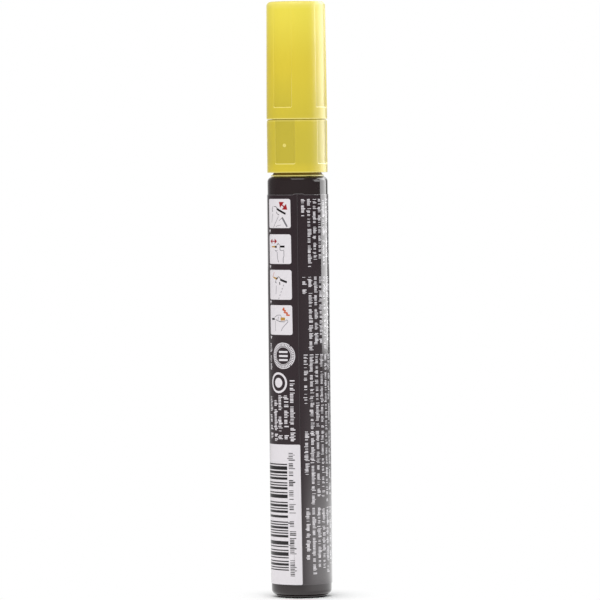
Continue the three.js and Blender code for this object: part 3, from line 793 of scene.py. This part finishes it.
class MARKER_OT_print(bpy.types.Operator):
    """Prints the label: picture panels, plain badges, fine strokes and the striped panel"""

    bl_idname = "marker.label_print"
    bl_label = "Label print"

    left = -8.65
    pictures = ((86.93, 93.75), (78.52, 85.45), (70.15, 77.12), (61.9, 68.85))

    def execute(self, context):
        label = context.scene.marker_label
        white_rise, ink_rise = 0.006, 0.010
        layers = [("print_panels", "white_print", white_rise, self.panels(label) + self.badges())]
        for kind, patches in self.inks().items():
            layers.append(("print_" + kind.split("_")[0], kind, ink_rise, patches))
        layers.append(("print_text", "white_print", white_rise, self.fine_print(label)))
        for name, kind, rise, patches in layers:
            put(name, printed(label, patches, rise), "label_film", finish=kind, sharp=30)
        return {"FINISHED"}

    def panels(self, label):
        """The pictures' and the stripes' white ground, and a pointer below each picture."""
        right, low = self.left + mm(label.picture_side), mm(label.film_bottom) + 0.04
        pointer = self.left + 0.3
        return [
            *(panel_patch(self.left, right, *heights, 0.5) for heights in self.pictures),
            panel_patch(-14.6, -0.44, low, 36.17, 0.3),
            *(stroke_patch([(pointer, z + 0.35), (pointer, z - 0.35)], 0.75, 0.05)
              for z in (86.16, 77.8, 69.5, 61.2))]

    def badges(self):
        """A toothed ring round three bars, and a ring round a disc."""
        s, z = -4.32, 57.0
        return [
            ring_patch(s, z, 2.98, 0.2), ring_patch(s, z, 2.06, 0.12),
            *(ring_patch(s, z, 2.52, 0.6, tooth * 9.0, 6) for tooth in range(40)),
            *(panel_patch(-5.5, -3.1, bar - 0.22, bar + 0.22) for bar in (56.0, 56.95, 57.9)),
            ring_patch(-5.8, 50.65, 2.2, 0.5), disc_patch(-5.8, 50.65, 1.15)]

    def inks(self):
        """Patches by ink: the pictures' lines, the ends of their markers, which taper, and their
        arrows, the striped panel's print, and the colour field at the back."""
        ink = {kind + "_print": [] for kind in ("black", "ochre", "red", "orange", "grey")}

        def at(picture, *places):
            corner = (self.left, self.pictures[picture][0])
            return np.array(corner) + np.reshape(places, (-1, 2))

        for kind, picture, lines in picture_lines:
            ink[kind] += [stroke_patch(at(picture, *places), width) for width, *places in lines]
        ink["ochre_print"] += [
            stroke_patch(at(1, 2.4, 4.02, 1.05, 4.02), 0.42, 0.2),
            stroke_patch(at(2, 2.67, 4.9, 1.35, 5.35), 0.55, 0.12),
            stroke_patch(at(3, 3.85, 3.72, 5.05, 3.72), 0.8, 0.7)]
        ink["red_print"] += arrow_patches(*at(0, 3.9, 6.12, 6.1, 4.3), 0.3, 1.1)
        ink["red_print"] += arrow_patches(*at(1, 0.62, 5.31, 3.1, 5.31), 0.22, 0.8)
        ink["black_print"] += self.stripes()
        ink["black_print"].append(fine_strokes([(-2.75, 34.35, 5.0)], 1.1, 0.4, 0.2, 3))
        ink["yellow_print"] = [panel_patch(18.1, 26.1, 73, 87, 0.8)]
        return ink

    def stripes(self):
        """An invented row of bars, scaled to its field."""
        low, length, widths = 6.55, 25.1, (0.27, 0.54, 0.81)
        rng = np.random.default_rng(11)
        thick = rng.choice(widths, 30, p=[0.55, 0.3, 0.15])
        gaps = rng.choice(widths, 30, p=[0.6, 0.3, 0.1])
        start = np.cumsum(thick + gaps) - thick - gaps
        scale = length / (start[-1] + thick[-1])
        bars = np.stack([start, start + thick], -1) * scale + low
        return [panel_patch(-13.3, -3.7, *bar) for bar in bars]

    def fine_print(self, label):
        """Blocks of fine strokes, larger ones beside the stripes, and two thin lines at the back."""
        height, pitch = mm(label.stroke_height), mm(label.line_pitch)
        # upper z, lower z of the lines, and lower z of the short first line
        blocks = (
            (93.7, 77.7, 89.6), (75.5, 58.0, 71.2), (57.3, 38.6, 45.6), (39.3, 22.0, 28.8),
            (21.3, 5.6, 8.9))
        lines = [
            (1.08 + pitch * k, high, low)
            for high, end, short in blocks
            for k, low in enumerate([short, *(end + by for by in (0, 1.5, 1.3, 0.3, 2.1, 0.6, 1.8, 0.2))])]
        wide = (
            (-2.25, 51.7, 36.8), (-3.85, 47.8, 37.2), (-5.5, 47.8, 37.0), (-6.95, 46.6, 36.8),
            (-8.8, 47.5, 37.0))
        return [
            fine_strokes(lines, height, 0.27, 0.155, 5), fine_strokes(wide, 0.8, 0.36, 0.2, 7),
            fine_strokes([(-8.6, 59.9, 53.6)], 0.6, 0.26, 0.13, 9),
            *(panel_patch(s - 0.12, s + 0.12, 8, 90) for s in (15.6, 28.6))]


class MARKER_OT_front(bpy.types.Operator):
    """Builds the front section in one moulding, with its gate mark, and the barrel seal"""

    bl_idname = "marker.front_section"
    bl_label = "Front section"

    def execute(self, context):
        sizes = context.scene.marker_sizes
        collar, low, high = mm(sizes.barrel_radius), mm(sizes.collar_bottom), mm(sizes.collar_top)
        top, floor = mm(sizes.barrel_length), collar - mm(sizes.collar_panel_depth)
        plug, bore, neck, flange, spigot, nose, point = 6.55, 4.4, 5.6, 6.25, 5.8, 4.2, 2.2
        profile = rounded([
            (plug - 0.4, top - 8, 0.05), (plug, top - 7.6, 0.1), (plug, top - 5.7, 0.05),
            (plug - 0.6, top - 5.7, 0.05), (plug - 0.6, top - 4.3, 0.05), (plug, top - 4.3, 0.05),
            (plug, top - 1.2, 0.3), (neck + 0.3, top - 0.55, 0.1), (neck, top - 0.55, 0.1),
            (neck, top + 0.08, 0.05), (flange, top + 0.08, 0.07), (flange, top + 0.34, 0.05),
            (flange - 0.3, top + 0.37, 0.02), (neck, low - 0.05, 0.05), (neck, low, 0.02),
            (collar, low, 0.15), (collar, low + 0.32, 0), (collar, high, 0.5), (spigot, high, 0.1),
            (spigot, high + 2.2, 0.3), (spigot + 0.15, high + 2.8, 0.5), (spigot, high + 3.4, 0.3),
            (spigot, high + 5.5, 0.08), (spigot - 0.3, high + 5.8, 0.08), (nose, high + 5.8, 0.1),
            (nose, high + 10.3, 0.3), (point + 0.6, high + 14.8, 0.2), (point, high + 14.8, 0.12),
            (point, high + 9.8, 0.05), (point + 1, high + 9.8, 0.05), (point + 1, top + 1.6, 0.05),
            (bore, top + 1.6, 0.05), (bore, top - 8, 0.1)])
        width, slope = mm(sizes.collar_panel_width), mm(sizes.panel_slope)
        outline = dict(middle=-25.6, width=width, low=low + 1.9, slope=slope)
        skin, r, z, sunk, lit = panelled(
            profile, outline, 6.6, floor, high - 0.55, (120, collar, 3.5, 0.45))
        # Painted highlights: the panels' slopes, the flange's rim, the collar's rounded top edge, where it
        # also lightens the shade of the gap under the cap, and the collar's lower edge
        lit = np.maximum.reduce([
            lit, (r > 6.1) & (z < top + 0.35) & (z > top), 0.3 * ((r > collar - 0.5) & (z > high - 0.45)),
            0.5 * ((r > collar - 0.1) & (z < low + 0.3))])
        # Painted shade on the neck between the collar and the barrel's mouth
        deep = 1.0 * ((z < low + 0.01) & (z > top + 0.35))
        # The sunk mark paints shade on the collar's panel floors
        put("front_moulding", skin, "yellow_plastic", node="front_section", sunk=sunk, lit=lit, deep=deep)
        dome = rounded([
            (0, -0.15, 0), (0.46, -0.15, 0), (0.42, 0.04, 0.03), (0.22, 0.14, 0.1), (0, 0.15, 0)])
        points, faces = turned(dome, round_about(24))
        a = math.radians(outline["middle"])
        facing = [(math.cos(a), math.sin(a), 0), (0, 0, 1), (math.sin(a), -math.cos(a), 0)]
        placed = (points + (0, low + 6.38, floor)) @ facing
        # The gate mark is lightened all over: a painted highlight
        put("gate_mark", (placed, faces), "yellow_plastic", lit=np.full(len(placed), 0.6))
        seal = washer(6.05, 6.6, top - 5.6, top - 4.4, 0.05, 0.27)
        put("plug_seal", turned(seal), "seal_rubber", node="barrel_seal")
        return {"FINISHED"}


class MARKER_OT_nib(bpy.types.Operator):
    """Builds the fibre nib and the slotted sleeve that holds it"""

    bl_idname = "marker.nib"
    bl_label = "Nib and holder"

    def execute(self, context):
        sizes = context.scene.marker_sizes
        (base, tip), radius, round_tip = ends("nib"), mm(sizes.nib_radius), 0.9
        rod = rounded([
            (0, base, 0), (radius - 0.3, base, 0.05), (radius, base + 0.3, 0.1),
            (radius, tip - mm(sizes.nib_point), 0.6), *arc(0, tip - round_tip, round_tip, 25, 82),
            (0, tip, 0)])
        put("nib_rod", turned(rod, round_about(96)), "nib_fibre", "nib", "nib")
        slot, depth = 0.45, 0.55

        def slotted(r, a, z):
            across = np.abs(r * np.sin(np.radians(from_quarter(a))))
            return r + depth * np.clip((slot - across) / 0.1, 0, 1) * (r < 2.5)

        sleeve = washer(2.1, 3.15, *ends("nib_holder"), 0.1)
        azimuths = round_about(72, quarters(-11, 11), 3, 0.6)
        put("nib_sleeve", turned(sleeve, azimuths, slotted), "natural_plastic", node="nib_holder")
        return {"FINISHED"}


class MARKER_OT_valve(bpy.types.Operator):
    """Builds the valve: gasket, stem, spring, windowed cage and the disc that closes it"""

    bl_idname = "marker.valve"
    bl_label = "Valve"

    def execute(self, context):
        gasket = washer(1.7, 4.3, *ends("valve_gasket"), 0.15)
        put("gasket_ring", turned(gasket), "seal_rubber", node="valve_gasket")
        low, high = ends("valve_stem")
        head, pin, tail = 97.95, 1.2, 1
        stem = rounded([
            (0, low, 0), (pin - 0.1, low, 0.02), (pin, low + 0.1, 0.04), (pin, head, 0.15),
            (2.8, head, 0.06), (2.8, head + 0.75, 0.06), (1.7, head + 1.25, 0.05), (tail, head + 1.25, 0.1),
            (tail, high - 0.1, 0.04), (tail - 0.1, high, 0.04), (0, high, 0)])
        put("stem_rod", turned(stem, round_about(72)), "natural_plastic", "valve_stem", "valve_stem")
        self.spring(mm(context.scene.marker_sizes.spring_wire) / 2)
        self.cage()
        low, high = ends("spring_retainer")
        rim, ledge = 4.35, 3.15
        disc = rounded([
            (1.3, low, 0.08), (rim, low, 0.1), (rim, low + 1.05, 0.08), (ledge, low + 1.05, 0.05),
            (ledge, high, 0.12), (1.3, high, 0.08)])
        put("retainer_disc", turned(disc), "natural_plastic", node="spring_retainer")
        return {"FINISHED"}

    def spring(self, wire, mean=2.2, turns=9, shut=0.58):
        """A tube of radius q round a helix: centre (R sin a, -R cos a, z(a)), its end turns closed
        up to a rise of shut. Its section, q cos b outward + q sin b binormal, has twelve sides."""
        low, high = ends("valve_spring")
        t = np.linspace(0, turns, turns * 40 + 1)
        first, last = low + wire, high - wire
        z = np.interp(t, [0, 1, turns - 1, turns], [first, first + shut, last - shut, last])
        centre, outward = about_axis(mean, 360 * t + 90, z), about_axis(1, 360 * t + 90, 0)
        heading = np.gradient(centre, axis=0)
        binormal = np.cross(outward, heading / np.linalg.norm(heading, axis=1)[:, None])
        b = np.radians(np.arange(12) * 30)[:, None]
        tube = centre[:, None] + wire * (np.cos(b) * outward[:, None] + np.sin(b) * binormal[:, None])
        rows, columns = tube.shape[:2]
        count = rows * columns
        faces = quads(rows, columns)[:, ::-1].tolist()
        faces += [list(range(columns)), list(range(count - 1, count - columns - 1, -1))]
        made = put("spring_coil", (tube.reshape(-1, 3), faces), "bright_steel", node="valve_spring")
        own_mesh(made)

    def cage(self, inner=3.2, outer=4.35, sill=85.4, lintel=90.4):
        """A tube whose grid leaves out the cells of four windows."""
        low, high = ends("valve_cage")
        half = math.degrees(math.asin(1.3 / outer))
        azimuths = np.sort(np.concatenate([np.arange(60) * 6.0 + 3, quarters(-half, half)]) % 360)
        z = np.array([low, low + 0.1, sill, 87.9, lintel, 93, high - 0.1, high])[:, None]
        eased = 0.08 * ((z == low) | (z == high))
        walls = np.stack([about_axis(r, azimuths, z) for r in (outer - eased, inner + eased)])
        middle = azimuths + (np.roll(azimuths, -1) - azimuths) % 360 / 2
        window = (np.abs(from_quarter(middle)) < half) & (z[:-1] >= sill) & (z[:-1] < lintel)
        outside = quads(len(z), len(azimuths))[~window.ravel()]
        faces = shelled(outside, z.size * azimuths.size).tolist()
        put("cage_tube", (walls.reshape(-1, 3), faces), "natural_plastic", node="valve_cage")


class MARKER_OT_cap(bpy.types.Operator):
    """Builds the cap's panelled shell and the liner that seals round the nib's cone"""

    bl_idname = "marker.cap"
    bl_label = "Cap"

    def execute(self, context):
        sizes = context.scene.marker_sizes
        mouth, crown = mm(sizes.cap_mouth_radius), mm(sizes.cap_crown_radius)
        low, top = ends("cap_shell")
        bore, shelf, well, dimple = mouth - 1, 118.6, 5.2, 0.1
        profile = rounded([
            (0, top - 1.2, 0), (well, top - 1.2, 0.3), (well, shelf, 0.1), (bore, shelf, 0.15),
            (bore, low + 1.8, 0.3), (bore - 0.15, low + 1.2, 0.5), (bore, low + 0.6, 0.3),
            (bore, low + 0.2, 0.05), (bore + 0.2, low, 0.05), (mouth, low, 0.15), (mouth, low + 0.32, 0),
            (crown, top, mm(sizes.cap_edge)), (5.3, top, 0.2), (5.15, top - dimple, 0.2),
            (0.9, top - dimple, 0.1), (0.75, top - 0.03, 0.1), (0, top - 0.03, 0)])
        width, slope = mm(sizes.cap_panel_width), mm(sizes.panel_slope)
        outline = dict(middle=-29.8, width=width, low=low + 2.6, slope=slope)
        skin, r, z, sunk, lit = panelled(
            profile, outline, 6.5, mm(sizes.cap_panel_floor), top - 1.05, (144, 7.0, 4.0, 0.4), side=0.6)
        # Painted highlights: the cap's lower lip and its crown edge, added to those on the panels' slopes
        lit = np.maximum.reduce([
            lit, 0.75 * ((r > mouth - 0.3) & (z < low + 0.3)),
            0.55 * (r > crown - 1.1) * np.clip((z - top + 1.7) / 1.5, 0, 1)])
        # The sunk mark paints shade on the lower part of the cap's panel floors, fading upward
        put("cap_moulding", skin, "yellow_plastic", "cap", "cap_shell",
            sunk=sunk * np.clip((124 - z) / 9, 0, 1) * 0.5, lit=lit)
        low, high = ends("cap_liner")
        cone, throat, outer = 3.6, 4.3, 5.15
        liner = rounded([
            (0, high - 0.7, 0), (cone, high - 0.7, 0.4), (cone, 125.9, 0.5), (throat, 122.6, 0.4),
            (throat, low + 0.1, 0.03), (throat + 0.1, low, 0.03), (outer, low, 0.12), (outer, high, 0.25),
            (0, high, 0)])
        put("liner_cup", turned(liner), "natural_plastic", "cap", "cap_liner")
        return {"FINISHED"}


class MARKER_OT_balls(bpy.types.Operator):
    """Builds the two steel balls that stir the paint"""

    bl_idname = "marker.balls"
    bl_label = "Mixing balls"

    def execute(self, context):
        a = np.radians(np.linspace(-90, 90, 41))
        half_circle = mm(context.scene.marker_sizes.ball_radius) * np.stack([np.cos(a), np.sin(a)], -1)
        half_circle[[0, -1], 0] = 0
        points, faces = turned(half_circle, round_about(72))
        for number, side in ((1, "left"), (2, "right")):
            node = "mixing_ball_" + str(number)
            centre = mm(np.array(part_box(node)).mean(0))
            put("ball_" + side, (points + centre, faces), "bright_steel", "ball_" + str(number), node)
        return {"FINISHED"}


def looking(at, target):
    """A place, and a turn that faces the target from there."""
    away = Vector(target) - Vector(at)
    return Matrix.Translation(at) @ away.to_track_quat("-Z", "Y").to_matrix().to_4x4()


class MARKER_OT_stage(bpy.types.Operator):
    """Sets the camera, the lamps, the world and the floor"""

    bl_idname = "marker.stage"
    bl_label = "Stage"

    def execute(self, context):
        self.camera(context.scene)
        self.lamp("top_box", (0, -0.38, 0.945), (0, 0, 0.07), (0.6, 0.5), 1.9)
        upper = self.lamp("upper_box", (0.492, -0.087, 0.29), (0, 0, 0.29), (0.225, 0.34), 3.1)
        strip = self.lamp("side_strip", (0.467, 0.228, 0.183), (0, 0, 0.183), (0.4, 0.295), 3.55)
        upper.visible_diffuse = strip.visible_diffuse = False
        self.floor()
        self.world(context.scene)
        context.scene.view_settings.view_transform = "Standard"
        return {"FINISHED"}

    def camera(self, scene):
        """The photograph's view: a long lens 1.15 m off, a little over the middle, leaning slightly."""
        distance, seen_height, aside, lean = 1.15, 0.1412, 0.00028, -0.61
        lens = bpy.data.cameras.new("camera")
        lens.lens = 36 * distance / seen_height
        lens.clip_start, lens.clip_end = 0.05, 20
        camera = bpy.data.objects.new("camera", lens)
        scene.collection.objects.link(camera)
        leaning = Matrix.Rotation(math.radians(lean), 4, "Z")
        camera.matrix_world = looking((aside, -distance, 0.107), (aside, 0, 0.06984)) @ leaning
        scene.camera = camera

    def lamp(self, name, at, target, across, level):
        """A soft box of that radiance, where 1 looks white."""
        light = bpy.data.lights.new(name, "AREA")
        light.shape, light.size, light.size_y = "RECTANGLE", *across
        light.energy = level * 4 * across[0] * across[1]
        box = bpy.data.objects.new(name, light)
        box.matrix_world = looking(at, target)
        box.visible_camera = False
        bpy.context.scene.collection.objects.link(box)
        return box

    def floor(self, rings=24, columns=96, level=-0.02):
        """A disc: (q sin a, -q cos a, 0), its rings closer together near the marker."""
        q = np.geomspace(10, 3000, rings)[:, None]
        here = np.arange(columns)
        ring = about_axis(q, here * 360 / columns, level).reshape(-1, 3)
        fan = np.stack([0 * here + rings * columns, here, np.roll(here, -1)], -1)
        mesh = bpy.data.meshes.new("floor")
        points = np.vstack([ring, [[0, 0, level]]]) / 1000
        mesh.from_pydata(points.tolist(), [], quads(rings, columns)[:, ::-1].tolist() + fan.tolist())
        floor = bpy.data.objects.new("floor", mesh)
        bpy.context.scene.collection.objects.link(floor)
        mesh.materials.append(self.floor_finish())

    def floor_finish(self):
        """Matt white near the marker, where its shadow falls; white to the camera further off.
        Gloss sees it bright to the right and dim ahead, and dark right under the foot."""
        f = Finish(bpy.data.materials.new("white_floor"))
        away = f.node("ShaderNodeVectorMath", {"operation": "LENGTH"}, {0: f.place()}, output="Value")
        ahead = f.ramp(
            away, (0.0, 0.34), (0.02, 0.34), (0.032, 0.3), (0.045, 0.24), (0.1, 0.25), (0.2, 0.22),
            (0.32, 0.15), (0.46, 0.12), (1.0, 0.1))
        beside = f.ramp(
            away, (0.0, 0.26), (0.012, 0.4), (0.02, 0.54), (0.032, 0.57), (0.045, 0.63), (0.06, 0.75),
            (0.3, 0.7), (0.45, 0.32), (0.7, 0.22), (1.0, 0.14))
        level = f.blend(f.limited(f.along("X", f.place()) / away, -0.1, 1.0), ahead, beside)
        level = f.blend(f.limited(away, 0.0065, 0.0069), (0.0, 0.0, 0.0), level)
        paper = f.node("ShaderNodeBsdfDiffuse", {}, {"Color": (0.97, 0.97, 0.97)})
        far = f.ray("Camera") * f.limited(away, 0.0068, 0.02)
        seen = f.mixed(far, paper, f.glow((1.0, 1.0, 1.0)))
        return f.end(f.mixed(f.ray("Glossy"), seen, f.glow(level, 3.5)))

    def world(self, scene):
        """White to the camera; to gloss a dim room with a white backdrop behind, a bright patch high
        on the right and a small lamp in it; even to the rest, but dimmer at the right."""
        scene.world = bpy.data.worlds.new("room")
        f = Finish(scene.world)
        way = f.place("Generated")
        x, y, z = (f.along(axis, way) for axis in "XYZ")
        behind = f.ramp(
            y * 0.5 + 0.5, (0.0, 0.25), (0.5, 0.17), (0.78, 0.2), (0.86, 0.33), (0.93, 0.4), (0.975, 1.0),
            (1.0, 1.0))
        room = f.blend(f.limited(z, 0.3, 0.7), behind, (0.12, 0.12, 0.12))
        patch = f.limited(x, 0.18, 0.34) * f.limited(z, 0.12, 0.3) * f.limited(y, 0.3, 0.6)
        room = f.blend(patch, room, (2.0, 2.0, 2.0))
        small = f.limited(x, 0.24, 0.34) * f.limited(y, 0.18, 0.3)
        small = small * f.limited(z, 0.3, 0.42) * (1 - f.limited(z, 0.7, 0.76))
        room = f.blend(small, room, (5.0, 5.0, 5.0))
        right = f.limited(x, 0.35, 0.85) * (1 - f.limited(z, 0.5, 0.8))
        even = f.blend(right, (0.96, 0.96, 0.96), (0.2, 0.27, 0.28))
        seen = f.blend(f.ray("Camera"), f.blend(f.ray("Glossy"), even, room), (1.0, 1.0, 1.0))
        f.end(f.node("ShaderNodeBackground", {}, {"Color": seen}), "ShaderNodeOutputWorld")


class MARKER_PT_pieces(bpy.types.Panel):
    """Lists the marker's pieces and their sizes and colours"""

    bl_idname = "MARKER_PT_pieces"
    bl_label = "Marker"
    bl_space_type = "VIEW_3D"
    bl_region_type = "UI"
    bl_category = "Marker"

    def draw(self, context):
        for operator in operators:
            self.layout.operator(operator.bl_idname)
        for part in ("sizes", "label", "colours"):
            group, box = getattr(context.scene, "marker_" + part), self.layout.box()
            box.label(text=part.title())
            for name in group.__annotations__:
                box.prop(group, name)


operators = (
    MARKER_OT_barrel, MARKER_OT_film, MARKER_OT_print, MARKER_OT_front, MARKER_OT_nib,
    MARKER_OT_valve, MARKER_OT_cap, MARKER_OT_balls, MARKER_OT_stage)
classes = (MarkerSizes, LabelSizes, MarkerColours, *operators, MARKER_PT_pieces)


def register():
    for cls in classes:
        bpy.utils.register_class(cls)
    bpy.types.Scene.marker_sizes = bpy.props.PointerProperty(type=MarkerSizes)
    bpy.types.Scene.marker_label = bpy.props.PointerProperty(type=LabelSizes)
    bpy.types.Scene.marker_colours = bpy.props.PointerProperty(type=MarkerColours)


def unregister():
    del bpy.types.Scene.marker_sizes, bpy.types.Scene.marker_label, bpy.types.Scene.marker_colours
    for cls in reversed(classes):
        bpy.utils.unregister_class(cls)


def main():
    register()
    bpy.ops.marker.barrel()
    bpy.ops.marker.film()
    bpy.ops.marker.label_print()
    bpy.ops.marker.front_section()
    bpy.ops.marker.nib()
    bpy.ops.marker.valve()
    bpy.ops.marker.cap()
    bpy.ops.marker.balls()
    bpy.ops.marker.stage()


if __name__ == "__main__":
    main()
